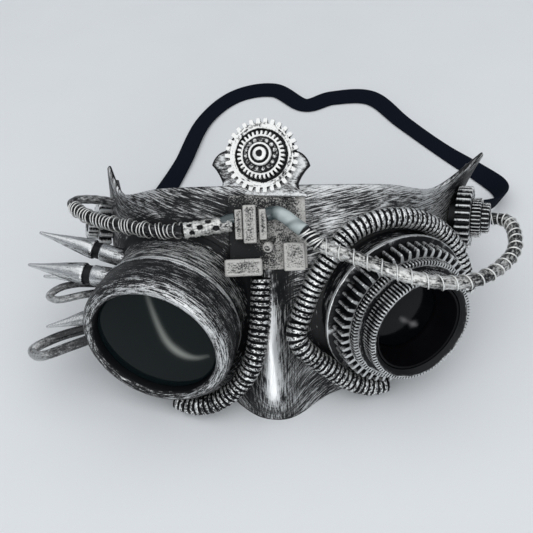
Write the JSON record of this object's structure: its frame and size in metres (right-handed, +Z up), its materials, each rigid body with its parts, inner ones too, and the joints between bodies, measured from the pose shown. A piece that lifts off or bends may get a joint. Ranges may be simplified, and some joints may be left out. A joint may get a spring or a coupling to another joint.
{
  "type": "steampunk half-face mask",
  "caption": "Black and brushed-silver half-face mask with two unlike goggles, glued gears, ribbed hoses, wound cables, spikes and a loose elastic strap lying on the table",
  "frame": {"origin": "on the table under the middle of the mask, strap left out", "axes": "face towards -Y, +X to the right seen from the front, +Z up; left and right in names are as seen from the front"},
  "size_m": [0.2242, 0.2304, 0.095],
  "materials": {
    "brushed_plastic": "black moulding dry-brushed with silver paint",
    "silver_plastic": "silver paint over black, worn in the recesses",
    "black_plastic": "gloss black moulding",
    "dark_lens": "dark smoked lens",
    "ribbed_hose": "ribbed flexible tube rubbed with silver",
    "wound_cable": "dark cable wound with fine wire",
    "milky_tube": "milky grey tube",
    "bent_wire": "bent wire rubbed with silver",
    "elastic_band": "woven black elastic"
  },
  "bodies": {
    "root": {"mask_shell": "brushed_plastic", "left_barrel": "brushed_plastic", "left_bezel": "silver_plastic", "left_lens": "dark_lens", "right_cup": "black_plastic", "right_gear_coarse": "silver_plastic", "right_gear_fine": "silver_plastic", "right_gear_ribbed": "silver_plastic", "right_liner": "black_plastic", "right_lens": "dark_lens", "crest_gear": "silver_plastic", "crest_gear_fine": "silver_plastic", "crest_hub": "silver_plastic", "bridge_plate": "silver_plastic", "clamp_bar_left": "silver_plastic", "clamp_bar_middle": "silver_plastic", "clamp_bar_right": "silver_plastic", "cross_bar": "silver_plastic", "square_block": "silver_plastic", "bridge_bolt": "silver_plastic", "right_temple_gear": "silver_plastic", "right_temple_fine_gear": "silver_plastic", "right_temple_hub": "silver_plastic", "left_temple_gear": "silver_plastic", "left_temple_hub": "silver_plastic", "hose_left": "ribbed_hose", "hose_right_upper": "ribbed_hose", "hose_right_lower": "ribbed_hose", "cable_left": "wound_cable", "cable_left_sleeve": "wound_cable", "cable_right_elbow": "milky_tube", "cable_right": "wound_cable", "spike_upper": "silver_plastic", "spike_middle": "silver_plastic", "spike_rear": "silver_plastic", "spike_low": "silver_plastic", "hook_upper": "bent_wire", "hook_lower": "bent_wire", "strap": "elastic_band"}
  },
  "joints": []
}
